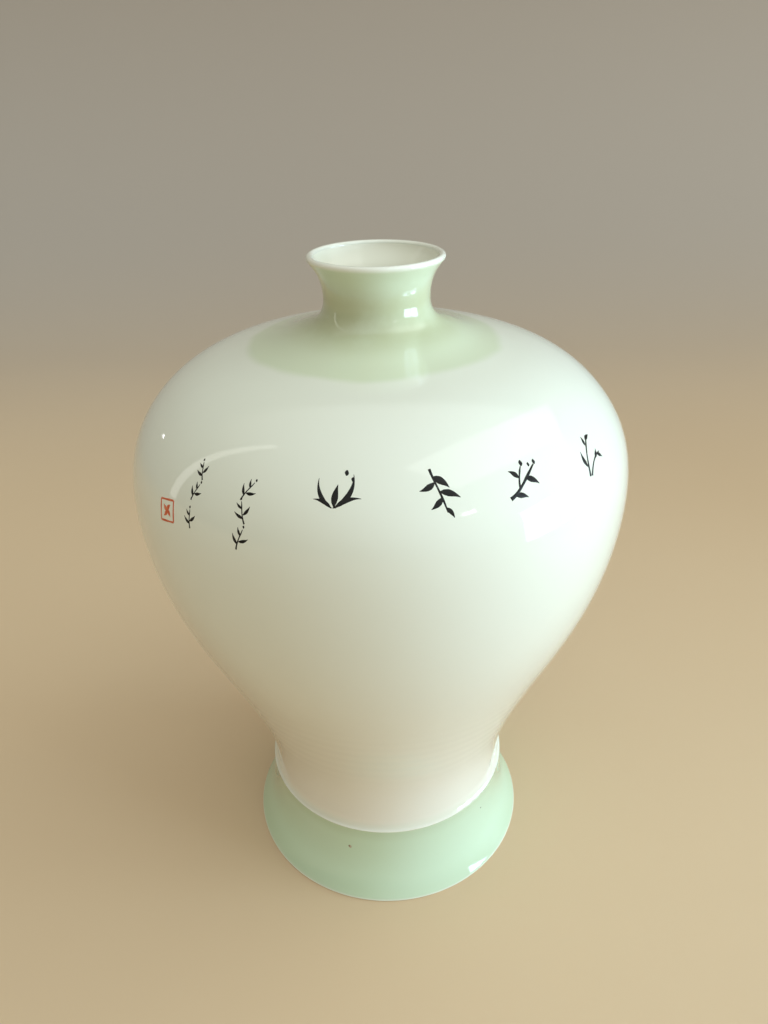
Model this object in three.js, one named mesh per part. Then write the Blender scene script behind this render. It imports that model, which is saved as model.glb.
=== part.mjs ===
// Porcelain vase with a narrow neck, a broad shoulder and a flared foot.
// Every piece is turned about the same upright axis, so each one is a lathe
// profile of (radius, height) points in millimetres. The sections meet in
// rebated lap joints, and each joint holds a thin ring of luting slip.
import * as THREE from 'three';

// Driving dimensions, in millimetres
const HEIGHT = 360;
const SEGMENTS = 48;

const WALL = 5;
const NECK_WALL = 4;
const SLIP = 1;
const LAP = 6;

const LIP_RADIUS = 32.7;
const LIP_ROLL = 1.6;
const FLARE_ANGLE = 0.9;
const FLARE_REACH = 6.5;
const FLARE_RISE = 9;
const THROAT_RADIUS = 26;
const THROAT_HEIGHT = 340;
const THROAT_DROP = 10.5;

const ROOT_RADIUS = 40;
const ROOT_HEIGHT = 325.6;
const ROOT_REACH = 7;
const BELLY_RADIUS = 127.2;
const BELLY_HEIGHT = 243;
const WAIST_RADIUS = 72.2;
const WAIST_HEIGHT = 54.5;

const FLOOR_TOP = 50;
const FLOOR_UNDERSIDE = 42;
const FLOOR_RADIUS = 55;
const CORNER_RADIUS = 64;
const CORNER_HEIGHT = 52.6;
const SPIGOT_RADIUS = 67;

const RIDGE_RADIUS = 74;
const RIDGE_HEIGHT = 47.5;
const RIDGE_BULGE = 0.6;
const FOOT_RADIUS = 86.5;
const FOOT_FLARE = 2.8;
const FOOT_WALL = 7;
const FOOT_BEVEL = 1.2;

const point = (radius, height) => new THREE.Vector2(radius, height);

// Outside of the body, from the neck root down to the foot joint
const bodyKnots = [
  point(ROOT_RADIUS, ROOT_HEIGHT),
  point(45, 323.6),
  point(53.5, 321),
  point(73.8, 316.2),
  point(101.8, 303),
  point(122.9, 276),
  point(BELLY_RADIUS, BELLY_HEIGHT),
  point(119.7, 199),
  point(100, 148),
  point(80.9, 99.5),
  point(WAIST_RADIUS, WAIST_HEIGHT),
  point(RIDGE_RADIUS, RIDGE_HEIGHT + SLIP / 2),
];
const SPANS = bodyKnots.length - 1;
const BELLY_JOINT = 8.6 / SPANS;
const FLOOR_CORNER = 9.84 / SPANS;
const bodyCurve = new THREE.CatmullRomCurve3(
  bodyKnots.map((knot) => new THREE.Vector3(knot.x, knot.y, 0)),
  false,
  'centripetal',
);

// Frame of the wall at one place on the body curve: the outer point, the
// direction up the wall and the direction through it
function wallFrame(t) {
  const outer = bodyCurve.getPoint(t);
  const down = bodyCurve.getTangent(t);
  return {
    origin: point(outer.x, outer.y),
    up: point(-down.x, -down.y),
    inward: point(down.y, -down.x),
  };
}

function wallPoint(frame, depth, rise) {
  return frame.origin.clone().addScaledVector(frame.inward, depth).addScaledVector(frame.up, rise);
}

function bodyRun(from, to, steps, depth) {
  const run = [];
  for (let i = 0; i <= steps; i += 1) {
    run.push(wallPoint(wallFrame(from + ((to - from) * i) / steps), depth, 0));
  }
  return run;
}

// Rebated lap joint, outside to inside: the lower section keeps its inner half
// as an upstand, and the upper section keeps its outer half as a skirt
function lapBelow(frame) {
  const step = (WALL + SLIP) / 2;
  return [
    wallPoint(frame, 0, -SLIP / 2),
    wallPoint(frame, step, -SLIP / 2),
    wallPoint(frame, step, LAP - SLIP / 2),
    wallPoint(frame, WALL, LAP - SLIP / 2),
  ];
}

function lapAbove(frame) {
  const step = (WALL - SLIP) / 2;
  return [
    wallPoint(frame, 0, SLIP / 2),
    wallPoint(frame, step, SLIP / 2),
    wallPoint(frame, step, LAP + SLIP / 2),
    wallPoint(frame, WALL, LAP + SLIP / 2),
  ];
}

const bellyFrame = wallFrame(BELLY_JOINT);
const neckFrame = wallFrame(0);

// An outline, listed clockwise with the axis on its left, becomes one solid of
// revolution standing on +Z; the lathe itself wants it counter-clockwise
function turned(name, outline, material) {
  const profile = [...outline].reverse();
  const onAxis = profile[0].x === 0;
  const geometry = new THREE.LatheGeometry(onAxis ? profile : [...profile, profile[0]], SEGMENTS);
  geometry.rotateX(Math.PI / 2);
  const mesh = new THREE.Mesh(geometry, material);
  mesh.name = name;
  return mesh;
}

function ceramic(color, roughness) {
  return new THREE.MeshStandardMaterial({ color, roughness, metalness: 0 });
}

// The foot joint: the floor's spigot drops into the foot ring, and the slip
// squeezed out around it stands proud as a ridge
const JOINT_TOP = RIDGE_HEIGHT + SLIP / 2;
const JOINT_BOTTOM = RIDGE_HEIGHT - SLIP / 2;
const SOCKET_RADIUS = SPIGOT_RADIUS + SLIP;

function footFlank(steps) {
  const flank = [];
  for (let i = 0; i <= steps; i += 1) {
    const drop = i / steps;
    const height = JOINT_BOTTOM + (FOOT_BEVEL - JOINT_BOTTOM) * drop;
    const flare = (FOOT_RADIUS - RIDGE_RADIUS) * drop ** FOOT_FLARE;
    flank.push(point(RIDGE_RADIUS + flare, height));
  }
  return flank;
}

function footRing() {
  const outside = footFlank(6);
  const inside = outside.slice(1).reverse();
  const recess = inside.map((p) => point(p.x - FOOT_WALL, p.y));
  return turned('foot_ring', [
    ...outside,
    point(FOOT_RADIUS - FOOT_BEVEL, 0),
    point(FOOT_RADIUS - FOOT_WALL + FOOT_BEVEL, 0),
    ...recess,
    point(SOCKET_RADIUS, FLOOR_UNDERSIDE),
    point(SOCKET_RADIUS, JOINT_BOTTOM),
  ], ceramic(0xbfdcc0, 0.12));
}

function footJointSlip() {
  return turned('foot_joint_slip', [
    point(RIDGE_RADIUS, JOINT_TOP),
    point(RIDGE_RADIUS + RIDGE_BULGE, RIDGE_HEIGHT),
    point(RIDGE_RADIUS, JOINT_BOTTOM),
    point(SOCKET_RADIUS, JOINT_BOTTOM),
    point(SOCKET_RADIUS, FLOOR_UNDERSIDE),
    point(SPIGOT_RADIUS, FLOOR_UNDERSIDE),
    point(SPIGOT_RADIUS, JOINT_TOP),
  ], ceramic(0xe6e4d6, 0.2));
}

function lowerBody() {
  const outside = bodyRun(BELLY_JOINT, 1, 9, 0).slice(1);
  const inside = bodyRun(FLOOR_CORNER, BELLY_JOINT, 5, WALL);
  return turned('lower_body', [
    point(0, FLOOR_TOP),
    point(FLOOR_RADIUS, FLOOR_TOP),
    point(CORNER_RADIUS, CORNER_HEIGHT),
    ...inside,
    ...lapBelow(bellyFrame).reverse(),
    ...outside,
    point(SPIGOT_RADIUS, JOINT_TOP),
    point(SPIGOT_RADIUS, FLOOR_UNDERSIDE),
    point(0, FLOOR_UNDERSIDE),
  ], ceramic(0xe9e6d8, 0.1));
}

function bellyJointSlip() {
  const outline = [...lapBelow(bellyFrame), ...lapAbove(bellyFrame).reverse()];
  return turned('belly_joint_slip', outline, ceramic(0xe6e4d6, 0.2));
}

function upperBody() {
  const outside = bodyRun(0, BELLY_JOINT, 18, 0).slice(1, -1);
  const inside = bodyRun(BELLY_JOINT, 0, 16, WALL).slice(1, -1);
  const [edge, step, corner, shelf] = lapAbove(bellyFrame);
  return turned('upper_body', [
    shelf,
    ...inside,
    ...lapBelow(neckFrame).reverse(),
    ...outside,
    edge,
    step,
    corner,
  ], ceramic(0xe4eadc, 0.08));
}

function neckJointSlip() {
  const outline = [...lapBelow(neckFrame), ...lapAbove(neckFrame).reverse()];
  return turned('neck_joint_slip', outline, ceramic(0xd8e2cc, 0.2));
}

// The neck, from the rolled lip down through the flare to the throat, and from
// the throat down through the fillet to the shoulder
const LIP_HEIGHT = HEIGHT - LIP_ROLL;
const LIP_CENTRE = LIP_RADIUS - LIP_ROLL;

function lipRoll(steps) {
  const roll = [];
  const sweep = 1.5 * Math.PI - FLARE_ANGLE;
  for (let i = 0; i <= steps; i += 1) {
    const turn = Math.PI - (sweep * i) / steps;
    roll.push(point(LIP_CENTRE + LIP_ROLL * Math.cos(turn), LIP_HEIGHT + LIP_ROLL * Math.sin(turn)));
  }
  return roll;
}

function neckOutside() {
  const under = lipRoll(1)[1];
  const root = lapAbove(neckFrame)[0];
  const flare = new THREE.CubicBezierCurve(
    under,
    point(under.x - FLARE_REACH * Math.cos(FLARE_ANGLE), under.y - FLARE_REACH * Math.sin(FLARE_ANGLE)),
    point(THROAT_RADIUS, THROAT_HEIGHT + FLARE_RISE),
    point(THROAT_RADIUS, THROAT_HEIGHT),
  );
  const fillet = new THREE.CubicBezierCurve(
    point(THROAT_RADIUS, THROAT_HEIGHT),
    point(THROAT_RADIUS, THROAT_HEIGHT - THROAT_DROP),
    wallPoint(neckFrame, 0, ROOT_REACH),
    root,
  );
  return [...flare.getPoints(5).slice(1), ...fillet.getPoints(7).slice(1)];
}

// The bore opens out below the throat into the inside of the shoulder, and
// above it into the mouth
const BORE_DROP = 9;
const SHOULDER_REACH = 12;
const MOUTH_RISE = 10;
const MOUTH_LEAN = 2;
const MOUTH_DROP = 5;

function neckInside() {
  const bore = THROAT_RADIUS - NECK_WALL;
  const edge = point(LIP_CENTRE - LIP_ROLL, LIP_HEIGHT);
  const shelf = lapAbove(neckFrame)[3];
  const fillet = new THREE.CubicBezierCurve(
    shelf,
    wallPoint(neckFrame, WALL, SHOULDER_REACH),
    point(bore, THROAT_HEIGHT - BORE_DROP),
    point(bore, THROAT_HEIGHT),
  );
  const mouth = new THREE.CubicBezierCurve(
    point(bore, THROAT_HEIGHT),
    point(bore, THROAT_HEIGHT + MOUTH_RISE),
    point(edge.x - MOUTH_LEAN, edge.y - MOUTH_DROP),
    edge,
  );
  return [...fillet.getPoints(5), ...mouth.getPoints(4).slice(1, -1)];
}

function neckAndLip() {
  return turned('neck_and_lip', [
    ...neckInside(),
    ...lipRoll(5),
    ...neckOutside(),
    ...lapAbove(neckFrame).slice(1, 3),
  ], ceramic(0xc4d4b4, 0.08));
}

const vase = new THREE.Group();
vase.name = 'porcelain_vase';
vase.add(
  footRing(),
  footJointSlip(),
  lowerBody(),
  bellyJointSlip(),
  upperBody(),
  neckJointSlip(),
  neckAndLip(),
);

export default vase;
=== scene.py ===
"""Looks of a shouldered porcelain vase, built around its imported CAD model.

Every fired section is rebuilt as a fine turned shell on the CAD section it
replaces, so the joints, sizes and wall stay where the CAD puts them. The
brushed decoration is laid on the glaze as thin raised strokes.
"""

import math

import bpy
import numpy as np
from mathutils import Matrix, Vector


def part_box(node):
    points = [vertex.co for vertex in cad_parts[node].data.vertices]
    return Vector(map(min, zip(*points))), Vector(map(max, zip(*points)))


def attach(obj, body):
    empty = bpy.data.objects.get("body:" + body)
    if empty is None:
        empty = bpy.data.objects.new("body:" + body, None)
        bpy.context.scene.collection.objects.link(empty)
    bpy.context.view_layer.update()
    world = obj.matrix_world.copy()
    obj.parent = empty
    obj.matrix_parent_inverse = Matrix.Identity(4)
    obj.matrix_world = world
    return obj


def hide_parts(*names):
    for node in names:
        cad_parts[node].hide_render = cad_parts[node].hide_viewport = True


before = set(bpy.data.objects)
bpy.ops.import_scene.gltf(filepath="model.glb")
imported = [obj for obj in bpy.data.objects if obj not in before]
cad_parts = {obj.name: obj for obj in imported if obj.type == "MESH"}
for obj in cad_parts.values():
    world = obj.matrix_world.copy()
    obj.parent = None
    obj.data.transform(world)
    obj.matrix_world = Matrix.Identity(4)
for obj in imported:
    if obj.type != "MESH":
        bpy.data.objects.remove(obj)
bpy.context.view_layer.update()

MM = 0.001
ROOT = "root"

# ---------------------------------------------------------------- dimensions
# The CAD boxes give the overall sizes; the rest repeats the CAD's own
# dimensions. Radii and heights are in millimetres.
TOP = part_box("neck_and_lip")[1].z / MM
BELLY_RADIUS = 127.2
FOOT_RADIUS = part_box("foot_ring")[1].x / MM

# Points round the vase, and along each part of its outline and inside
COLUMNS = 256
LIP_POINTS, FLARE_POINTS, FILLET_POINTS = 20, 22, 30
BODY_POINTS, RIDGE_POINTS, FLANK_POINTS, BEVEL_POINTS = 190, 9, 34, 6
DOME_POINTS, MOUTH_POINTS, WALL_POINTS, CORNER_POINTS = 22, 20, 90, 12

WALL = 5.0
NECK_WALL = 4.0
SLIP = 1.0
LAP = 6.0

LIP_RADIUS = 32.7
LIP_ROLL = 1.6
FLARE_ANGLE = 0.9
FLARE_REACH = 6.5
FLARE_RISE = 9.0
THROAT_RADIUS = 26.0
THROAT_HEIGHT = 340.0
THROAT_DROP = 10.5
BORE = THROAT_RADIUS - NECK_WALL

ROOT_RADIUS, ROOT_HEIGHT = 40.0, 325.6
ROOT_REACH = 7.0
BELLY_HEIGHT = 243.0
WAIST_RADIUS, WAIST_HEIGHT = 72.2, 54.5
BELLY_JOINT_RADIUS, BELLY_JOINT_HEIGHT = 87.8, 118.8

FLOOR_TOP = 50.0
FLOOR_UNDERSIDE = 42.0
FLOOR_CORNER_RADIUS, FLOOR_CORNER_HEIGHT = 67.4, 60.0
SPIGOT_RADIUS = 67.0
SOCKET_RADIUS = SPIGOT_RADIUS + SLIP

RIDGE_RADIUS, RIDGE_HEIGHT = 74.0, 47.5
RIDGE_BULGE = 0.6
JOINT_TOP = RIDGE_HEIGHT + SLIP / 2
JOINT_BOTTOM = RIDGE_HEIGHT - SLIP / 2
FOOT_FLARE = 2.8
FOOT_WALL = 7.0
FOOT_BEVEL = 1.2

BODY_KNOTS = [
    (ROOT_RADIUS, ROOT_HEIGHT),
    (45.0, 323.6),
    (53.5, 321.0),
    (73.8, 316.2),
    (101.8, 303.0),
    (122.9, 276.0),
    (BELLY_RADIUS, BELLY_HEIGHT),
    (119.7, 199.0),
    (100.0, 148.0),
    (80.9, 99.5),
    (WAIST_RADIUS, WAIST_HEIGHT),
    (RIDGE_RADIUS, JOINT_TOP),
]
SHOULDER_START = np.array([0.928, -0.371])
WAIST_END = np.array([0.825, -0.565])


# -------------------------------------------------------------------- curves
def bezier(points, count):
    """count points along a cubic Bezier curve, both ends included."""
    t = np.linspace(0, 1, count)[:, None]
    a, b, c, d = (np.array(p, float) for p in points)
    return (1 - t) ** 3 * a + 3 * t * (1 - t) ** 2 * b + 3 * t * t * (1 - t) * c + t**3 * d


def smooth_curve(knots, start, end, count):
    """count points along a curvature-continuous curve through the knots,
    which leaves and arrives along the unit directions start and end."""
    k = np.array(knots, float)
    n = len(k)
    h = np.hypot(*np.diff(k, axis=0).T)
    lhs = np.zeros((n, n))
    rhs = np.zeros((n, 2))
    lhs[0, 0] = lhs[-1, -1] = 1
    rhs[0], rhs[-1] = start, end
    for i in range(1, n - 1):
        lhs[i, i - 1 : i + 2] = h[i], 2 * (h[i - 1] + h[i]), h[i - 1]
        before = (k[i] - k[i - 1]) / h[i - 1]
        after = (k[i + 1] - k[i]) / h[i]
        rhs[i] = 3 * (h[i] * before + h[i - 1] * after)
    slopes = np.linalg.solve(lhs, rhs)
    total = h.sum()
    ends = np.concatenate([[0], np.cumsum(h)])
    out = []
    for s in np.linspace(0, total, count):
        i = min(np.searchsorted(ends, s, side="right") - 1, n - 2)
        t = (s - ends[i]) / h[i]
        out.append(
            (1 + 2 * t) * (1 - t) ** 2 * k[i]
            + t * (1 - t) ** 2 * h[i] * slopes[i]
            + t * t * (3 - 2 * t) * k[i + 1]
            + t * t * (t - 1) * h[i] * slopes[i + 1]
        )
    return np.array(out)


# ------------------------------------------------------------------- outline
def lip_roll(count):
    sweep = 1.5 * math.pi - FLARE_ANGLE
    angle = math.pi - np.linspace(0, sweep, count)
    centre = np.array([LIP_RADIUS - LIP_ROLL, TOP - LIP_ROLL])
    return centre + LIP_ROLL * np.stack([np.cos(angle), np.sin(angle)], 1)


def neck_outline():
    roll = lip_roll(LIP_POINTS)
    reach = FLARE_REACH * np.array([math.cos(FLARE_ANGLE), math.sin(FLARE_ANGLE)])
    throat = np.array([THROAT_RADIUS, THROAT_HEIGHT])
    above_throat = throat + (0, FLARE_RISE)
    flare = bezier([roll[-1], roll[-1] - reach, above_throat, throat], FLARE_POINTS)
    root = np.array([ROOT_RADIUS, ROOT_HEIGHT])
    into_root = root - ROOT_REACH * SHOULDER_START
    below_throat = throat - (0, THROAT_DROP)
    fillet = bezier([throat, below_throat, into_root, root], FILLET_POINTS)
    return np.vstack([roll, flare[1:], fillet[1:]])


def foot_outline():
    drop = np.linspace(0, 1, FLANK_POINTS)
    flank = np.stack(
        [
            RIDGE_RADIUS + (FOOT_RADIUS - RIDGE_RADIUS) * drop**FOOT_FLARE,
            JOINT_BOTTOM + (FOOT_BEVEL - JOINT_BOTTOM) * drop,
        ],
        1,
    )
    angle = np.linspace(0, math.pi / 2, BEVEL_POINTS)[1:]
    centre = np.array([FOOT_RADIUS - FOOT_BEVEL, FOOT_BEVEL])
    bevel = centre + FOOT_BEVEL * np.stack([np.cos(angle), -np.sin(angle)], 1)
    return np.vstack([flank, bevel])


def ridge_outline():
    angle = np.linspace(0, math.pi, RIDGE_POINTS)
    radius = RIDGE_RADIUS + RIDGE_BULGE * np.sin(angle)
    return np.stack([radius, np.linspace(JOINT_TOP, JOINT_BOTTOM, RIDGE_POINTS)], 1)


def body_outline():
    return smooth_curve(BODY_KNOTS, SHOULDER_START, WAIST_END, BODY_POINTS)


# The glaze side of the vase as one outline, from the inside of the lip over
# the top and down to the resting rim, so neighbouring sections share it
outside = np.vstack(
    [neck_outline(), body_outline()[1:], ridge_outline()[1:], foot_outline()[1:]]
)
outside_arc = np.concatenate([[0], np.cumsum(np.hypot(*np.diff(outside, axis=0).T))])


def nearest_ring(radius, height):
    return int(np.argmin(np.hypot(*(outside - (radius, height)).T)))


# Distance kept between the inside of the wall and the corners it runs into
WALL_GAP = 2


def wall_inside(count):
    """Inside of the body wall from the waist up to the neck, one wall in from
    the outside."""
    body = body_outline()
    tangent = np.gradient(body, axis=0)
    inward = np.stack([tangent[:, 1], -tangent[:, 0]], 1)
    inward /= np.linalg.norm(inward, axis=1)[:, None]
    wall = (body + WALL * inward)[::-1]
    wall = wall[wall[:, 1] > FLOOR_CORNER_HEIGHT + WALL_GAP]
    return wall[np.linspace(0, len(wall) - 1, count).astype(int)]


BORE_REACH = 9
DOME_REACH = (-5.1, 2.0)
MOUTH_REACH = (1.2, 6)


def neck_inside(start):
    """The bore, from the shoulder's inside up past the throat to the lip."""
    throat = np.array([BORE, THROAT_HEIGHT])
    rise = np.array([0, BORE_REACH])
    edge = np.array([LIP_RADIUS - 2 * LIP_ROLL, TOP - LIP_ROLL])
    fillet = bezier([start, start + DOME_REACH, throat - rise, throat], DOME_POINTS)
    mouth = bezier([throat, throat + rise, edge - MOUTH_REACH, edge], MOUTH_POINTS)
    return np.vstack([fillet[1:], mouth[1:]])


# The rounded corner between the floor and the wall, as steps in from the corner
# and up from the floor; and the flat rings of the floor, above and below
CORNER_CURVE = ((12, 0), (5, 0), (1, 3.5))
CAP_RADIUS = 1.0
FLOOR_RADII = (CAP_RADIUS, 20.0, 40.0)
UNDERSIDE_RADII = (30.0, CAP_RADIUS)


def floor_inside():
    """The floor from its middle out, and the corner up to the wall."""
    points = [(FLOOR_CORNER_RADIUS - i, FLOOR_TOP + up) for i, up in CORNER_CURVE]
    points.append((FLOOR_CORNER_RADIUS, FLOOR_CORNER_HEIGHT))
    flat = [(radius, FLOOR_TOP) for radius in FLOOR_RADII]
    return np.vstack([flat, bezier(points, CORNER_POINTS)])


# ------------------------------------------------- hand-made surface of the glaze
SURFACE_ALLOWANCE = 0.2

# Waves of hand turning: depth, lobes round the vase, lean with height, phase
WAVES = ((0.07, 2, 0.020, 1.3), (0.05, 3, -0.035, 0.4), (0.03, 5, 0.055, 0.0))
RING_DEPTH, RING_PITCH, RING_DRIFT = 0.018, 8.5, 0.6
RINGS_RISE, RINGS_FALL = (80, 105), (132, 165)
UNEVEN_RISE, UNEVEN_FALL = (2, 20), (335, 352)


def smoothstep(span, x):
    low, high = span
    t = np.clip((x - low) / (high - low), 0, 1)
    return t * t * (3 - 2 * t)


def plateau(rise, fall, x):
    return smoothstep(rise, x) * (1 - smoothstep(fall, x))


def unevenness(azimuth, height):
    """How far the fired surface lies inside the CAD outline, as a negative
    number of millimetres: slow waves of hand turning and, on the lower body,
    faint throwing rings."""
    waves = sum(
        depth * np.sin(lobes * azimuth + lean * height + phase)
        for depth, lobes, lean, phase in WAVES
    )
    ring_phase = 2 * math.pi * height / RING_PITCH + RING_DRIFT * np.sin(azimuth)
    rings = RING_DEPTH * plateau(RINGS_RISE, RINGS_FALL, height) * np.sin(ring_phase)
    fade = plateau(UNEVEN_RISE, UNEVEN_FALL, height)
    return fade * (waves + rings - SURFACE_ALLOWANCE)


azimuths = np.linspace(0, 2 * math.pi, COLUMNS, endpoint=False)


def turn(profile):
    """A profile of (radius, height) turned into rings of points, in metres.
    Azimuth 0 faces -Y and grows towards +X."""
    r, z = np.asarray(profile, float).T * MM
    x = r[:, None] * np.sin(azimuths)
    y = -r[:, None] * np.cos(azimuths)
    return np.stack([x, y, np.broadcast_to(z[:, None], x.shape)], 2)


def grid_normals(rings):
    along = np.gradient(rings, axis=0)
    around = np.roll(rings, -1, 1) - np.roll(rings, 1, 1)
    n = np.cross(along, around)
    return n / np.linalg.norm(n, axis=2)[:, :, None]


skin_plain = turn(outside)
skin_direction = grid_normals(skin_plain)
skin = skin_plain + skin_direction * (
    unevenness(azimuths[None, :], outside[:, 1][:, None]) * MM
)[:, :, None]
skin_normals = grid_normals(skin)


# ------------------------------------------------------------------- meshes
# Places of the three clay materials on every turned piece
GLAZE, INNER, BISCUIT = 0, 1, 2


def finish_mesh(name, vertices, faces, corner_normals, materials, face_materials):
    mesh = bpy.data.meshes.new(name)
    mesh.from_pydata(vertices, [], faces)
    for material in materials:
        mesh.materials.append(material)
    mesh.polygons.foreach_set("material_index", face_materials)
    mesh.polygons.foreach_set("use_smooth", [True] * len(faces))
    if corner_normals is not None:
        mesh.normals_split_custom_set(corner_normals)
    mesh.update()
    piece = bpy.data.objects.new(name, mesh)
    bpy.context.scene.collection.objects.link(piece)
    return piece


def turned_piece(name, runs, materials, capped=False):
    """One closed piece from runs of rings, listed clockwise in the section:
    down the outside, in, up the inside and out. A run is (rings, normals,
    material index); flat bands join the runs. A capped piece is closed on
    the axis at both ends instead of joining its last ring to its first."""
    vertices, faces, normals, indices = [], [], [], []

    def band(a, b, normals_a, normals_b, index):
        for j in range(COLUMNS):
            k = (j + 1) % COLUMNS
            faces.append((a + j, b + j, b + k, a + k))
            indices.append(index)
            normals.extend((normals_a[j], normals_b[j], normals_b[k], normals_a[k]))

    def flat(ring_a, ring_b):
        both = ring_a + ring_b
        n = np.cross(ring_b - ring_a, np.roll(both, -1, 0) - np.roll(both, 1, 0))
        length = np.linalg.norm(n, axis=1)[:, None]
        return n / np.where(length > 0, length, 1)

    previous = None
    for rings, ring_normals, index in runs:
        for i, ring in enumerate(rings):
            start = len(vertices)
            vertices.extend(map(tuple, ring))
            if previous is not None:
                before, before_start = previous
                if i > 0 and ring_normals is not None:
                    na, nb = ring_normals[i - 1], ring_normals[i]
                else:
                    na = nb = flat(before, ring)
                band(before_start, start, na, nb, index)
            previous = (ring, start)
    last, last_start = previous
    if capped:
        faces.append(tuple(range(COLUMNS)))
        faces.append(tuple(last_start + j for j in reversed(range(COLUMNS))))
        normals.extend([(0, 0, 1)] * COLUMNS)
        normals.extend([(0, 0, -1)] * COLUMNS)
        indices.extend([runs[0][2], runs[-1][2]])
    else:
        ring = np.array(vertices[:COLUMNS])
        n = flat(last, ring)
        band(last_start, 0, n, n, runs[-1][2])
    return finish_mesh(name, vertices, faces, normals, materials, indices)


def skin_run(start, stop):
    return skin[start : stop + 1], skin_normals[start : stop + 1], GLAZE


def plain_run(profile, index):
    rings = turn(profile)
    return rings, grid_normals(rings) if len(rings) > 1 else None, index


def joint_run(profile):
    return turn(profile), None, BISCUIT


# ---------------------------------------------------------------- materials
def new_material(name):
    material = bpy.data.materials.new(name)
    material.use_nodes = True
    tree = material.node_tree
    shader = next(n for n in tree.nodes if n.type == "BSDF_PRINCIPLED")
    return material, tree, shader


def add(tree, kind, **values):
    node = tree.nodes.new(kind)
    for key, value in values.items():
        setattr(node, key, value)
    return node


def math_node(tree, operation, *values):
    node = add(tree, "ShaderNodeMath", operation=operation)
    for socket, value in zip(node.inputs, values):
        if isinstance(value, (int, float)):
            socket.default_value = value
        else:
            tree.links.new(value, socket)
    return node.outputs[0]


def times(tree, a, b):
    return math_node(tree, "MULTIPLY", a, b)


def plus(tree, a, b):
    return math_node(tree, "ADD", a, b)


def one_minus(tree, a):
    return math_node(tree, "SUBTRACT", 1.0, a)


def distance(tree, x, y):
    return math_node(tree, "SQRT", plus(tree, times(tree, x, x), times(tree, y, y)))


def step_node(tree, value, span):
    """Smooth step from 0 at the span's low end to 1 at its high end."""
    node = add(tree, "ShaderNodeMapRange", interpolation_type="SMOOTHSTEP")
    tree.links.new(value, node.inputs["Value"])
    node.inputs["From Min"].default_value, node.inputs["From Max"].default_value = span
    return node.outputs["Result"]


def between(tree, value, rise, fall):
    """1 between two heights, with a soft step up and a soft step down."""
    below_top = one_minus(tree, step_node(tree, value, fall))
    return times(tree, step_node(tree, value, rise), below_top)


def noise_node(tree, vector, scale, detail=2.0, roughness=0.5):
    node = add(tree, "ShaderNodeTexNoise")
    tree.links.new(vector, node.inputs["Vector"])
    node.inputs["Scale"].default_value = scale
    node.inputs["Detail"].default_value = detail
    node.inputs["Roughness"].default_value = roughness
    return node.outputs["Fac"]


MIX_FACTOR, MIX_A, MIX_B, MIX_RESULT = 0, 6, 7, 2


def mix_colours(tree, factor, a, b):
    """Colour a where the factor is 0, going over to b where it is 1."""
    node = add(tree, "ShaderNodeMix", data_type="RGBA")
    tree.links.new(factor, node.inputs[MIX_FACTOR])
    for index, colour in ((MIX_A, a), (MIX_B, b)):
        if isinstance(colour, tuple):
            node.inputs[index].default_value = (*colour, 1)
        else:
            tree.links.new(colour, node.inputs[index])
    return node.outputs[MIX_RESULT]


def tint(tree, colour, mask, weight, towards):
    """The colour, taken part of the way towards another where the mask is 1."""
    return mix_colours(tree, times(tree, mask, weight), colour, towards)


def position(tree):
    """Sockets for the object position and its x, y and z, in metres."""
    coords = add(tree, "ShaderNodeTexCoord").outputs["Object"]
    split = add(tree, "ShaderNodeSeparateXYZ")
    tree.links.new(coords, split.inputs[0])
    return (coords, *split.outputs)


def bump(tree, shader, height, strength, distance_m):
    node = add(tree, "ShaderNodeBump")
    node.inputs["Strength"].default_value = strength
    node.inputs["Distance"].default_value = distance_m
    tree.links.new(height, node.inputs["Height"])
    tree.links.new(node.outputs["Normal"], shader.inputs["Normal"])


def roughen(tree, shader, least, noise, spread):
    tree.links.new(plus(tree, least, times(tree, noise, spread)), shader.inputs["Roughness"])


WHITE_HIGH = (0.79, 0.83, 0.73)
WHITE_LOW = (0.83, 0.81, 0.72)
WHITE_CLOUD = (0.78, 0.81, 0.72)
CELADON_NECK = (0.67, 0.75, 0.565)
CELADON_NECK_MOTTLE = (0.66, 0.75, 0.58)
# The throat's deeper olive colour is partly glaze gathered there and partly shade painted
# into the colour
CELADON_POOL_AND_SHADE = (0.47, 0.50, 0.30)
CELADON_FOOT = (0.56, 0.73, 0.53)
CELADON_FOOT_CLOUD = (0.60, 0.74, 0.60)
CELADON_DEEP = (0.43, 0.53, 0.33)
# The band above the ridge is partly the foot's glaze seeping up and partly shade painted into
# the colour to dim it
SEEPED_GLAZE_AND_SHADE = (0.67, 0.70, 0.55)
THIN_GLAZE = (0.86, 0.87, 0.79)
IRON_SPECK = (0.10, 0.07, 0.04)
GLAZE_IOR = 1.52

# Where one glaze goes over to another. These are heights in metres, apart from
# the disc's own edge, which is a distance from the disc's middle.
WHITE_CHANGE = (0.06, 0.26)
DISC_MIDDLE_X = -0.0023
DISC_EDGE = (0.0575, 0.0635)
DISC_WANDER = 0.010
SHOULDER_AND_UP = (0.29, 0.31)
POOL_AND_SHADE_RISE, POOL_AND_SHADE_FALL = (0.322, 0.330), (0.340, 0.354)
LIP_BREAK = (0.3565, 0.3592)
SEEP_AND_SHADE = (0.0475, 0.0540)
FOOT_EDGE = (0.0458, 0.0472)
FOOT_WANDER = 0.12
UNDER_RIDGE = (0.036, 0.0455)
BOTTOM_EDGE = (0.002, 0.014)
RIM_BREAK = (0.0006, 0.0022)
RIDGE_RISE, RIDGE_FALL = (0.0462, 0.0474), (0.0478, 0.0492)

# Ranges of noise that show
CLOUDS = (0.35, 0.7)
MOTTLES = (0.4, 0.75)
SPECK_SIZE = (0.010, 0.022)
SPECK_PATCHES = (0.66, 0.70)

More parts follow.
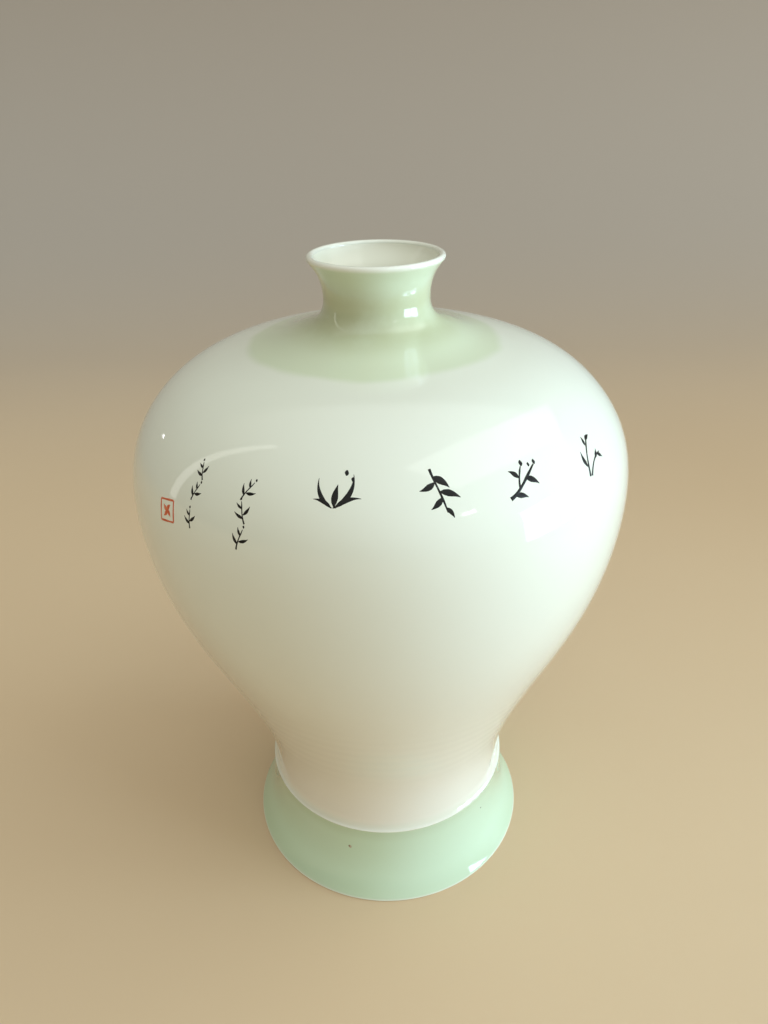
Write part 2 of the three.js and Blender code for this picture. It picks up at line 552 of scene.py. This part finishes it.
# Small faults of the firing: azimuth, radius, height, half sizes, tilt, colour
FAULTS = (
    (-18.5, 74.7, 30.8, (1.15, 4.0, 1.5), 0.0, (0.47, 0.37, 0.26)),
    (-19.0, 74.7, 31.1, (0.55, 4.0, 0.95), 0.0, (0.14, 0.08, 0.05)),
    (50.6, 74.6, 33.3, (0.6, 4.0, 0.7), 0.0, (0.06, 0.06, 0.05)),
    (62.4, 72.3, 58.2, (0.9, 4.0, 4.6), 6.0, (0.08, 0.06, 0.04)),
)
FAULT_EDGE = (0.55, 1.0)
FAULT_DEPTH = 1.5


def fault_mask(tree, coords, azimuth_deg, radius, height, half_sizes, tilt_deg):
    """1 inside a small oval on the glaze and 0 outside it, with a soft edge.
    Its half width, depth and half height are in millimetres."""
    a = math.radians(azimuth_deg)
    oval = add(tree, "ShaderNodeMapping", vector_type="TEXTURE")
    tree.links.new(coords, oval.inputs["Vector"])
    oval.inputs["Location"].default_value = (
        radius * MM * math.sin(a),
        -radius * MM * math.cos(a),
        height * MM,
    )
    oval.inputs["Rotation"].default_value = (0.0, math.radians(tilt_deg), a)
    oval.inputs["Scale"].default_value = [h * MM for h in half_sizes]
    length = add(tree, "ShaderNodeVectorMath", operation="LENGTH")
    tree.links.new(oval.outputs[0], length.inputs[0])
    return one_minus(tree, step_node(tree, length.outputs["Value"], FAULT_EDGE))


def disc_mask(tree, x, y, z, wander):
    """The pale green disc and the neck that rises from it. The disc sits a
    little to one side, and its edge wanders and feathers."""
    from_middle = distance(tree, plus(tree, x, -DISC_MIDDLE_X), y)
    outside_disc = step_node(tree, plus(tree, from_middle, wander), DISC_EDGE)
    return times(tree, one_minus(tree, outside_disc), step_node(tree, z, SHOULDER_AND_UP))


def foot_colour(tree, z, clouds):
    """The foot's glaze, deeper where it gathers under the ridge and along the
    bottom edge."""
    under_ridge = times(tree, step_node(tree, z, UNDER_RIDGE), 0.45)
    bottom_edge = times(tree, one_minus(tree, step_node(tree, z, BOTTOM_EDGE)), 0.35)
    gathered = plus(tree, under_ridge, bottom_edge)
    foot = mix_colours(tree, gathered, CELADON_FOOT, CELADON_DEEP)
    foot = tint(tree, foot, clouds, 0.4, CELADON_FOOT_CLOUD)
    rim = one_minus(tree, step_node(tree, z, RIM_BREAK))
    return mix_colours(tree, rim, foot, THIN_GLAZE)


def speck_mask(tree, coords):
    """A few iron specks burnt through the glaze."""
    voronoi = add(tree, "ShaderNodeTexVoronoi", feature="F1")
    tree.links.new(coords, voronoi.inputs["Vector"])
    voronoi.inputs["Scale"].default_value = 55.0
    near = one_minus(tree, step_node(tree, voronoi.outputs["Distance"], SPECK_SIZE))
    return times(tree, near, step_node(tree, noise_node(tree, coords, 13.0), SPECK_PATCHES))


def glaze_material():
    """Clear glossy glaze on white clay, going over to pale green celadon on
    the neck with the disc round it and on the foot."""
    material, tree, shader = new_material("porcelain_glaze")
    coords, x, y, z = position(tree)

    drift = noise_node(tree, coords, 9.0, 3.0)
    mottle = noise_node(tree, coords, 55.0, 4.0, 0.6)
    fine = noise_node(tree, coords, 420.0)
    clouds = step_node(tree, drift, CLOUDS)
    edge_noise = math_node(tree, "SUBTRACT", noise_node(tree, coords, 22.0), 0.5)
    wander = times(tree, edge_noise, DISC_WANDER)

    white = mix_colours(tree, step_node(tree, z, WHITE_CHANGE), WHITE_LOW, WHITE_HIGH)
    white = tint(tree, white, clouds, 0.35, WHITE_CLOUD)

    # the neck: deeper and more olive at the throat, partly where the glaze gathers and partly
    # painted shade; thin on the lip
    pool_and_shade = between(tree, z, POOL_AND_SHADE_RISE, POOL_AND_SHADE_FALL)
    neck = mix_colours(tree, times(tree, pool_and_shade, 0.7), CELADON_NECK, CELADON_POOL_AND_SHADE)
    neck = tint(tree, neck, step_node(tree, mottle, MOTTLES), 0.3, CELADON_NECK_MOTTLE)
    colour = mix_colours(tree, disc_mask(tree, x, y, z, wander), white, neck)
    colour = tint(tree, colour, step_node(tree, z, LIP_BREAK), 0.85, THIN_GLAZE)

    # a little of the foot's glaze runs up over the foot joint, and the band there is darkened
    # further as painted shade; the glaze breaks thin on the ridge
    seep_and_shade = one_minus(tree, step_node(tree, z, SEEP_AND_SHADE))
    colour = tint(tree, colour, seep_and_shade, 0.6, SEEPED_GLAZE_AND_SHADE)
    uneven_z = plus(tree, z, times(tree, wander, FOOT_WANDER))
    below = one_minus(tree, step_node(tree, uneven_z, FOOT_EDGE))
    colour = mix_colours(tree, below, colour, foot_colour(tree, z, clouds))
    ridge = between(tree, z, RIDGE_RISE, RIDGE_FALL)
    colour = tint(tree, colour, ridge, 0.4, THIN_GLAZE)

    colour = tint(tree, colour, speck_mask(tree, coords), 0.8, IRON_SPECK)
    pits = 0.0
    for *spot, stain in FAULTS:
        fault = fault_mask(tree, coords, *spot)
        colour = tint(tree, colour, fault, 0.85, stain)
        pits = plus(tree, pits, fault)

    tree.links.new(colour, shader.inputs["Base Color"])
    roughen(tree, shader, 0.045, mottle, 0.05)
    shader.inputs["IOR"].default_value = GLAZE_IOR
    shader.inputs["Coat Weight"].default_value = 0.35
    shader.inputs["Coat Roughness"].default_value = 0.03
    relief = plus(tree, drift, times(tree, fine, 0.02))
    relief = math_node(tree, "SUBTRACT", relief, times(tree, pits, FAULT_DEPTH))
    bump(tree, shader, relief, 0.10, 0.0006)
    return material


INNER_PALE = (0.90, 0.90, 0.80)
INNER_CLOUD = (0.85, 0.87, 0.75)
INNER_THROAT = (0.80, 0.84, 0.68)
THROAT_SPAN = (0.330, 0.352)


def inner_glaze_material():
    material, tree, shader = new_material("inner_glaze")
    coords, x, y, z = position(tree)
    drift = noise_node(tree, coords, 14.0, 3.0)
    colour = mix_colours(tree, step_node(tree, drift, (0.3, 0.75)), INNER_PALE, INNER_CLOUD)
    colour = tint(tree, colour, step_node(tree, z, THROAT_SPAN), 0.3, INNER_THROAT)
    tree.links.new(colour, shader.inputs["Base Color"])
    roughen(tree, shader, 0.06, drift, 0.08)
    shader.inputs["IOR"].default_value = GLAZE_IOR
    bump(tree, shader, drift, 0.12, 0.0006)
    return material


CLAY_PALE = (0.74, 0.70, 0.61)
CLAY_DARK = (0.66, 0.60, 0.50)
CLAY_TOASTED = (0.55, 0.36, 0.22)
TOAST_RADII = (0.0838, 0.0853)


def biscuit_material():
    """Bare fired clay of the resting rim, toasted next to the glaze."""
    material, tree, shader = new_material("bare_biscuit")
    coords, x, y, z = position(tree)
    grit = noise_node(tree, coords, 900.0, 4.0, 0.7)
    cloud = noise_node(tree, coords, 40.0, 3.0)
    colour = mix_colours(tree, step_node(tree, cloud, (0.3, 0.7)), CLAY_PALE, CLAY_DARK)
    toast = step_node(tree, distance(tree, x, y), TOAST_RADII)
    colour = tint(tree, colour, toast, 0.6, CLAY_TOASTED)
    tree.links.new(colour, shader.inputs["Base Color"])
    roughen(tree, shader, 0.68, grit, 0.2)
    bump(tree, shader, grit, 0.5, 0.0002)
    return material


ENAMEL_ROUGHNESS = 0.3
ENAMEL_SPECULAR = 0.25


def enamel_material(name, thick, thin):
    """Brushed enamel, darker where the brush left more of it."""
    material, tree, shader = new_material(name)
    coords = position(tree)[0]
    load = noise_node(tree, coords, 260.0, 3.0, 0.6)
    colour = mix_colours(tree, step_node(tree, load, (0.35, 0.8)), thick, thin)
    tree.links.new(colour, shader.inputs["Base Color"])
    roughen(tree, shader, ENAMEL_ROUGHNESS, load, 0.15)
    shader.inputs["Specular IOR Level"].default_value = ENAMEL_SPECULAR
    bump(tree, shader, load, 0.2, 0.00005)
    return material


ink = enamel_material("ink_enamel", (0.004, 0.004, 0.004), (0.016, 0.013, 0.012))
red = enamel_material("red_enamel", (0.58, 0.10, 0.035), (0.74, 0.24, 0.12))
clay_materials = [glaze_material(), inner_glaze_material(), biscuit_material()]


# ----------------------------------------------------------------- sections
def seam_rings(index):
    """The skin rings half a slip above and below the joint at a ring."""
    half = SLIP / 2
    above = int(np.argmin(np.abs(outside_arc - (outside_arc[index] - half))))
    below = int(np.argmin(np.abs(outside_arc - (outside_arc[index] + half))))
    return min(above, index - 1), max(below, index + 1)


def wall_frame(index):
    """Outer point, direction up the wall and direction into it at a ring."""
    tangent = outside[index - 1] - outside[index + 1]
    up = tangent / np.linalg.norm(tangent)
    return outside[index], up, np.array([-up[1], up[0]])


def lap(index, step, edge):
    """Corners of a rebated joint below the skin: along at depth step, up the
    rebate and along again to the inside of the wall. edge is the distance
    above or below the joint's middle."""
    origin, up, inward = wall_frame(index)
    return np.array(
        [
            origin + inward * step + up * edge,
            origin + inward * step + up * (LAP + edge),
            origin + inward * WALL + up * (LAP + edge),
        ]
    )


neck_joint = nearest_ring(ROOT_RADIUS, ROOT_HEIGHT)
belly_joint = nearest_ring(BELLY_JOINT_RADIUS, BELLY_JOINT_HEIGHT)
ridge_top = nearest_ring(RIDGE_RADIUS, JOINT_TOP)
ridge_bottom = nearest_ring(RIDGE_RADIUS, JOINT_BOTTOM)

neck_above, neck_below = seam_rings(neck_joint)
belly_above, belly_below = seam_rings(belly_joint)
OUTER_HALF, INNER_HALF = (WALL - SLIP) / 2, (WALL + SLIP) / 2
neck_upper = lap(neck_joint, OUTER_HALF, SLIP / 2)
neck_lower = lap(neck_joint, INNER_HALF, -SLIP / 2)
belly_upper = lap(belly_joint, OUTER_HALF, SLIP / 2)
belly_lower = lap(belly_joint, INNER_HALF, -SLIP / 2)

wall = wall_inside(WALL_POINTS)
lower_wall = wall[wall[:, 1] < belly_lower[2][1] - WALL_GAP]
above_belly = wall[:, 1] > belly_upper[2][1] + WALL_GAP
short_of_neck = wall[:, 0] > neck_lower[2][0] + WALL_GAP
upper_wall = wall[above_belly & short_of_neck]


def neck_and_lip():
    bore = plain_run(neck_inside(neck_upper[2]), INNER)
    runs = [skin_run(0, neck_above), joint_run(neck_upper), bore]
    return turned_piece("neck_and_lip_fine", runs, clay_materials)


def upper_body():
    return turned_piece(
        "upper_body_fine",
        [
            skin_run(neck_below, belly_above),
            joint_run(belly_upper),
            plain_run(upper_wall, INNER),
            joint_run(neck_lower[::-1]),
        ],
        clay_materials,
    )


def lower_body():
    inside = np.vstack([floor_inside(), lower_wall])
    rings = turn(inside)
    underside = turn([(SPIGOT_RADIUS, JOINT_TOP), (SPIGOT_RADIUS, FLOOR_UNDERSIDE)])
    floor = turn([(radius, FLOOR_UNDERSIDE) for radius in UNDERSIDE_RADII])
    return turned_piece(
        "lower_body_fine",
        [
            (rings, grid_normals(rings), INNER),
            joint_run(belly_lower[::-1]),
            skin_run(belly_below, ridge_top),
            (underside, None, BISCUIT),
            (floor, None, INNER),
        ],
        clay_materials,
        capped=True,
    )


def joint_slip(name, above, below, upper, lower):
    runs = [skin_run(above, below), joint_run(lower), joint_run(upper[::-1])]
    return turned_piece(name, runs, clay_materials)


def foot_joint_slip():
    socket = [
        (SOCKET_RADIUS, JOINT_BOTTOM),
        (SOCKET_RADIUS, FLOOR_UNDERSIDE),
        (SPIGOT_RADIUS, FLOOR_UNDERSIDE),
        (SPIGOT_RADIUS, JOINT_TOP),
    ]
    return turned_piece(
        "foot_joint_slip_fine",
        [skin_run(ridge_top, ridge_bottom), joint_run(socket)],
        clay_materials,
    )


# Points next to the ridge that the foot's recess does without
RECESS_LEFT_OFF = 4


def foot_ring():
    flank = foot_outline()[:FLANK_POINTS][::-1]
    recess = flank[:-RECESS_LEFT_OFF] - (FOOT_WALL, 0)
    rim_edge = FOOT_RADIUS - FOOT_WALL + FOOT_BEVEL
    socket = [(SOCKET_RADIUS, FLOOR_UNDERSIDE), (SOCKET_RADIUS, JOINT_BOTTOM)]
    return turned_piece(
        "foot_ring_fine",
        [
            skin_run(ridge_bottom, len(outside) - 1),
            (turn([(rim_edge, 0.0)]), None, BISCUIT),
            plain_run(recess, INNER),
            (turn(socket), None, BISCUIT),
        ],
        clay_materials,
    )


def stand_for(piece, node):
    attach(piece, ROOT)
    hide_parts(node)


stand_for(neck_and_lip(), "neck_and_lip")
stand_for(upper_body(), "upper_body")
stand_for(lower_body(), "lower_body")
stand_for(foot_ring(), "foot_ring")
neck_slip = joint_slip("neck_joint_slip_fine", neck_above, neck_below, neck_upper, neck_lower)
stand_for(neck_slip, "neck_joint_slip")
belly_slip = joint_slip(
    "belly_joint_slip_fine", belly_above, belly_below, belly_upper, belly_lower
)
stand_for(belly_slip, "belly_joint_slip")
stand_for(foot_joint_slip(), "foot_joint_slip")


# --------------------------------------------------------------- decoration
STROKE_SECTION = np.array([-1.0, -0.8, 0.0, 0.8, 1.0])
STROKE_LIFT = np.array([-0.03, 0.035, 0.05, 0.035, -0.03])
STROKE_STEPS = 22
TANGENT_REACH = 0.5
THROAT_RING = LIP_POINTS + FLARE_POINTS - 2


def outline_at(arc):
    """Radius and height of the outline at distances along it."""
    return [np.interp(arc, outside_arc, outside[:, i]) for i in (0, 1)]


def on_glaze(azimuth, arc, lift):
    """Points on the glaze, in metres, lifted by millimetres along its normal."""
    radius, height = outline_at(arc)
    tangent = np.stack(outline_at(arc + TANGENT_REACH), -1)
    tangent -= np.stack(outline_at(arc - TANGENT_REACH), -1)
    tangent /= np.linalg.norm(tangent, axis=-1)[..., None]
    out = unevenness(azimuth, height) + lift
    radius = radius - tangent[..., 1] * out
    height = height + tangent[..., 0] * out
    return np.stack([radius * np.sin(azimuth), -radius * np.cos(azimuth), height], -1) * MM


def brush_marks(name, place_deg, height, tilt_deg, weight, strokes, material, slot):
    """One painted mark: every stroke is a low ridge of enamel on the glaze.
    A stroke is (control points, half widths), in millimetres right and up
    from the mark's middle."""
    falling = outside[THROAT_RING:, 1]
    arc_at = np.interp(-height, -falling, outside_arc[THROAT_RING:])
    radius_at = outline_at(arc_at)[0]
    tilt = math.radians(tilt_deg)
    cos, sin = math.cos(tilt), math.sin(tilt)
    turn_by = np.array([[cos, -sin], [sin, cos]])
    vertices, faces = [], []
    for points, widths in strokes:
        t = np.linspace(0, 1, STROKE_STEPS)
        line = bezier(points, STROKE_STEPS) @ turn_by.T
        half = weight * np.interp(t, np.linspace(0, 1, len(widths)), widths)
        along = np.gradient(line, axis=0)
        along /= np.maximum(np.linalg.norm(along, axis=1), 1e-6)[:, None]
        side = np.stack([-along[:, 1], along[:, 0]], 1)
        offset = (half[:, None] * STROKE_SECTION)[:, :, None]
        across = line[:, None, :] + side[:, None, :] * offset
        lift = np.broadcast_to(STROKE_LIFT, across.shape[:2])
        azimuth = math.radians(place_deg) + across[:, :, 0] / radius_at
        rings = on_glaze(azimuth, arc_at - across[:, :, 1], lift)
        start = len(vertices)
        width = len(STROKE_SECTION)
        vertices.extend(map(tuple, rings.reshape(-1, 3)))
        for i in range(STROKE_STEPS - 1):
            for j in range(width):
                k = (j + 1) % width
                a = start + i * width
                faces.append((a + j, a + k, a + width + k, a + width + j))
        faces.append(tuple(start + j for j in reversed(range(width))))
        faces.append(tuple(start + (STROKE_STEPS - 1) * width + j for j in range(width)))
    piece = finish_mesh(name, vertices, faces, None, [material], [0] * len(faces))
    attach(piece, ROOT)


def leaf(x, y, length, angle_deg, width=0.8, bend=0.15):
    """A tapering leaf stroke from (x, y), bending to its left."""
    a = math.radians(angle_deg)
    ahead = np.array([math.cos(a), math.sin(a)])
    left = np.array([-ahead[1], ahead[0]])
    root = np.array([x, y])
    points = [
        root,
        root + ahead * length * 0.3 + left * length * bend,
        root + ahead * length * 0.7 + left * length * bend,
        root + ahead * length,
    ]
    return points, [0.12, width * 0.75, width, width * 0.8, 0.4 * width, 0.05]


def stem(points, width):
    """A thin stroke that the brush leaves with a light touch."""
    return points, [width * 1.3, width, width * 0.8, width, width * 0.5]


def berry(x, y, size):
    """A short fat stroke."""
    inner = size * 0.3
    points = [(x - size, y), (x - inner, y + 0.1), (x + inner, y - 0.1), (x + size, y)]
    return points, [inner, size, size, inner]


grass_tuft = [
    leaf(-1, -8, 15.5, 62, 0.75, -0.22),
    leaf(-1.4, -8, 13, 118, 0.6, 0.2),
    leaf(-0.6, -7.6, 9, 84, 0.9, 0.05),
    leaf(-0.2, -8, 10.5, 22, 0.7, 0.18),
    leaf(-1.8, -7.8, 7.5, 158, 0.55, -0.15),
    berry(3.4, 6.2, 0.8),
    berry(6.0, 3.6, 0.6),
]
hanging_leaves = [
    stem([(-3.5, 9), (-2.6, 4), (-0.4, -1), (1.2, -9)], 0.32),
    leaf(-3.0, 5.6, 8.0, -38, 1.05, 0.10),
    leaf(-2.4, 3.4, 7.0, 205, 0.85, 0.12),
    leaf(-0.9, -0.6, 8.5, -22, 0.95, 0.10),
    leaf(-0.2, -2.8, 6.5, 222, 0.8, 0.1),
    leaf(0.9, -7, 5.0, -60, 0.6, 0.08),
]
berry_twig = [
    stem([(-7.5, -6.5), (-3, -4.5), (0, 0), (7, 6)], 0.45),
    stem([(-2.4, -3.2), (-2.6, 0), (-1.2, 3.5), (0.4, 6.2)], 0.3),
    leaf(-5.2, -5.6, 6.0, -12, 0.8, 0.14),
    leaf(1.0, 1.0, 7.0, -28, 0.9, 0.12),
    leaf(-2.0, 1.4, 5.4, 142, 0.75, -0.12),
    berry(0.9, 7.4, 0.85),
    berry(7.6, 7.0, 0.75),
    berry(4.4, 6.3, 0.6),
]
reeds = [
    stem([(-5.5, -8.5), (-4.5, -2), (-2.0, 4), (4.0, 8.5)], 0.34),
    stem([(-4.2, -8.5), (-1.5, -4), (2.5, -1), (7.5, -0.5)], 0.3),
    leaf(-5.0, -4.4, 7.5, 100, 0.7, 0.14),
    leaf(-1.2, 4.6, 4.2, 88, 0.6, -0.1),
    leaf(1.2, 6.6, 4.6, 20, 0.65, 0.1),
    leaf(2.4, -2.2, 4.6, 50, 0.6, -0.1),
    leaf(4.8, -1.0, 4.4, -34, 0.6, 0.1),
]

# The four large sprigs stand round the shoulder, each a little lower than the
# one to its left: strokes, azimuth, height and tilt
SPRIG_WEIGHT = 1.65
SPRIGS = (
    (grass_tuft, -8.8, 294.6, 0.0),
    (hanging_leaves, 11.9, 292.8, 0.0),
    (berry_twig, 29.8, 290.4, -6.0),
    (reeds, 51.2, 288.4, -6.0),
)
for number, (strokes, *spot) in enumerate(SPRIGS, start=1):
    brush_marks(f"ink_sprig_{number}", *spot, SPRIG_WEIGHT, strokes, ink, "ink_enamel")


def small_sprig(x, y, angle_deg, size):
    """A small sprig of a stem, three leaves and a bud."""
    a = math.radians(angle_deg)
    ahead = np.array([math.cos(a), math.sin(a)]) * size
    left = np.array([-ahead[1], ahead[0]])
    root = np.array([x, y]) - ahead * 0.5
    tip = root + ahead
    return [
        stem([root, root + ahead * 0.4 + left * 0.08, root + ahead * 0.7, tip], 0.2),
        leaf(*(root + ahead * 0.25), size * 0.55, angle_deg + 48, 0.45, 0.1),
        leaf(*(root + ahead * 0.4), size * 0.5, angle_deg - 52, 0.5, -0.1),
        leaf(*(root + ahead * 0.68), size * 0.4, angle_deg + 40, 0.38, 0.1),
        berry(*(tip + ahead * 0.12), 0.42),
    ]


COLUMN_WEIGHT = 1.6


def sprig_column(name, place_deg, height, sprigs, size):
    """Small sprigs one below another. A sprig is (place up, angle)."""
    strokes = []
    for rise, angle_deg in sprigs:
        strokes.extend(small_sprig(0.0, rise, angle_deg, size))
    brush_marks(name, place_deg, height, 0.0, COLUMN_WEIGHT, strokes, ink, "ink_enamel")


sprig_column("ink_small_column_1", -27.4, 282.6, ((8.8, 60), (0.0, 110), (-11.0, 75)), 9.2)
sprig_column("ink_small_column_2", -40.2, 284.0, ((9.5, 115), (0.2, 70), (-11.5, 100)), 8.0)


def seal_strokes():
    """A square frame round a plain four-petalled flower."""
    half_size, line = np.array([5.0, 4.7]), 0.42
    widths = [line, line * 1.2, line * 0.9, line]
    corners = [half_size * signs for signs in ((-1, -1), (1, -1), (1, 1), (-1, 1))]
    strokes = []
    for a, b in zip(corners, corners[1:] + corners[:1]):
        strokes.append(([a, a + (b - a) / 3, a + (b - a) * 2 / 3, b], widths))
    for quarter in range(4):
        strokes.append(leaf(0, 0, 3.7, 45 + 90 * quarter, 1.0, 0.12))
    strokes.append(berry(0, 0, 0.5))
    return strokes


brush_marks("red_seal_flower", -47.8, 271.8, 12.0, 1.15, seal_strokes(), red, "red_enamel")


# -------------------------------------------------------------------- stage
SWEEP_START, SWEEP_RADIUS, SWEEP_TOP, STAGE_REACH = 0.95, 0.9, 3.2, 9.0
FLOOR_TONES = ((0.63, 0.475, 0.30), (0.67, 0.515, 0.335))
WALL_TONE = (0.44, 0.395, 0.345)
FLOOR_TO_WALL = (0.3, 1.5)


def studio_sweep():
    """A floor that curves up into a plain wall well behind the vase."""
    turn_up = np.linspace(0, math.pi / 2, 25)
    profile = [(-STAGE_REACH, 0.0)]
    profile += [
        (SWEEP_START + SWEEP_RADIUS * math.sin(a), SWEEP_RADIUS * (1 - math.cos(a)))
        for a in turn_up
    ]
    profile.append((SWEEP_START + SWEEP_RADIUS, SWEEP_TOP))
    vertices = [(x, y, z) for y, z in profile for x in (-STAGE_REACH, STAGE_REACH)]
    faces = [(2 * i, 2 * i + 1, 2 * i + 3, 2 * i + 2) for i in range(len(profile) - 1)]
    mesh = bpy.data.meshes.new("studio_sweep")
    mesh.from_pydata(vertices, [], faces)
    mesh.polygons.foreach_set("use_smooth", [True] * len(faces))
    material, tree, shader = new_material("pale_sweep")
    coords, x, y, z = position(tree)
    ground = mix_colours(tree, noise_node(tree, coords, 3.0, 3.0), *FLOOR_TONES)
    colour = mix_colours(tree, step_node(tree, y, FLOOR_TO_WALL), ground, WALL_TONE)
    tree.links.new(colour, shader.inputs["Base Color"])
    shader.inputs["Roughness"].default_value = 0.6
    mesh.materials.append(material)
    sweep = bpy.data.objects.new("studio_sweep", mesh)
    bpy.context.scene.collection.objects.link(sweep)


def softbox(name, location, aim, size, power, colour, along=None, spread=math.pi):
    """A rectangular light facing aim; its width lies level, or along a
    given direction."""
    light = bpy.data.lights.new(name, "AREA")
    light.shape = "RECTANGLE"
    light.size, light.size_y = size
    light.energy, light.color, light.spread = power, colour, spread
    lamp = bpy.data.objects.new(name, light)
    back = (Vector(location) - Vector(aim)).normalized()
    side = Vector(along or Vector((0, 0, 1)).cross(back)).normalized()
    turned_to = Matrix((side, back.cross(side), back)).transposed()
    lamp.matrix_world = Matrix.Translation(location) @ turned_to.to_4x4()
    bpy.context.scene.collection.objects.link(lamp)


# Direction that the soft light comes from: overhead, rather more from the
# right and the front
BRIGHT_SIDE = (0.34, -0.28, 0.898)
WARM_FROM, BRIGHT_FROM = (-0.3, 0.6), (0.15, 1.0)


def world_light(dim, warm, bright):
    """Soft light from all round, brightest towards BRIGHT_SIDE."""
    world = bpy.data.worlds.new("studio")
    world.use_nodes = True
    tree = world.node_tree
    background = next(n for n in tree.nodes if n.type == "BACKGROUND")
    coords = add(tree, "ShaderNodeTexCoord").outputs["Generated"]
    towards_bright = add(tree, "ShaderNodeVectorMath", operation="DOT_PRODUCT")
    tree.links.new(coords, towards_bright.inputs[0])
    towards_bright.inputs[1].default_value = BRIGHT_SIDE
    height = towards_bright.outputs["Value"]
    low = mix_colours(tree, step_node(tree, height, WARM_FROM), dim, warm)
    sky = mix_colours(tree, step_node(tree, height, BRIGHT_FROM), low, bright)
    tree.links.new(sky, background.inputs["Color"])
    background.inputs["Strength"].default_value = 1.0
    bpy.context.scene.world = world


studio_sweep()
world_light((0.11, 0.078, 0.045), (0.44, 0.37, 0.27), (1.03, 1.10, 1.07))

# A low window to the right, the lit ceiling above it, a small lamp, and the
# pale edge of a room to the left; each one shows as a reflection in the glaze
LIGHT_HEIGHT = 0.29


def towards(azimuth_deg, elevation_deg, reach):
    """A place seen from the shoulder in a direction; azimuth 0 is -Y."""
    a, e = math.radians(azimuth_deg), math.radians(elevation_deg)
    return (
        reach * math.cos(e) * math.sin(a),
        -reach * math.cos(e) * math.cos(a),
        LIGHT_HEIGHT + reach * math.sin(e),
    )


SHOULDER = (0.0, 0.0, LIGHT_HEIGHT)
DAYLIGHT, CEILING_LIGHT = (0.60, 0.82, 1.0), (0.95, 1.0, 0.98)
WHITE, WARM_WHITE = (1.0, 1.0, 1.0), (1.0, 0.99, 0.93)

WINDOW_PANE = (0.36, 0.50)
WINDOW_DISTANCE, WINDOW_ELEVATION = 1.3, 1.5
WINDOW_SPREAD = math.radians(60)
for name, azimuth_deg, power in (("window_near", 66, 0.95), ("window_far", 84, 1.10)):
    pane_at = towards(azimuth_deg, WINDOW_ELEVATION, WINDOW_DISTANCE)
    softbox(name, pane_at, SHOULDER, WINDOW_PANE, power, DAYLIGHT, spread=WINDOW_SPREAD)

CEILING_PLACE, CEILING_ALONG = (1.70, 0.22, 2.2), (0.585, 0.811, 0.0)
BELOW_CEILING = (CEILING_PLACE[0], CEILING_PLACE[1], 0.0)
CEILING_SIZE = (3.2, 1.2)
softbox(
    "ceiling", CEILING_PLACE, BELOW_CEILING, CEILING_SIZE, 12.4, CEILING_LIGHT, CEILING_ALONG
)

LEFT_PLACE, RIGHT_OF_IT = (-1.57, 0.17, 1.58), (0.0, 0.17, 1.58)
softbox("lamp", towards(38, 25.5, 1.4), SHOULDER, (0.13, 0.05), 0.25, WHITE)
softbox("left_strip", LEFT_PLACE, RIGHT_OF_IT, (0.12, 2.65), 1.3, WARM_WHITE)
softbox("left_lamp", (-1.30, 0.81, 0.54), SHOULDER, (0.03, 0.03), 0.03, WHITE)


# ------------------------------------------------------------------- camera
# The photograph was taken by hand from close by, above and in front
CAMERA_PLACE = Vector((0.0, -0.3703, 0.4328))
PITCH_DOWN, ROLL, YAW = (math.radians(v) for v in (29.83, -1.255, 0.19))
camera_data = bpy.data.cameras.new("camera")
camera_data.sensor_width = 36.0
camera_data.lens = 27.0
camera_data.clip_start = 0.01
camera = bpy.data.objects.new("camera", camera_data)
ahead = Vector((math.sin(YAW), math.cos(YAW), 0.0)) * math.cos(PITCH_DOWN)
ahead.z = -math.sin(PITCH_DOWN)
level = Vector((math.cos(YAW), -math.sin(YAW), 0.0))
above = level.cross(ahead)
right = math.cos(ROLL) * level + math.sin(ROLL) * above
up = math.cos(ROLL) * above - math.sin(ROLL) * level
camera.matrix_world = Matrix((right, up, -ahead)).transposed().to_4x4()
camera.location = CAMERA_PLACE
bpy.context.scene.collection.objects.link(camera)
bpy.context.scene.camera = camera

bpy.context.scene.view_settings.view_transform = "Standard"
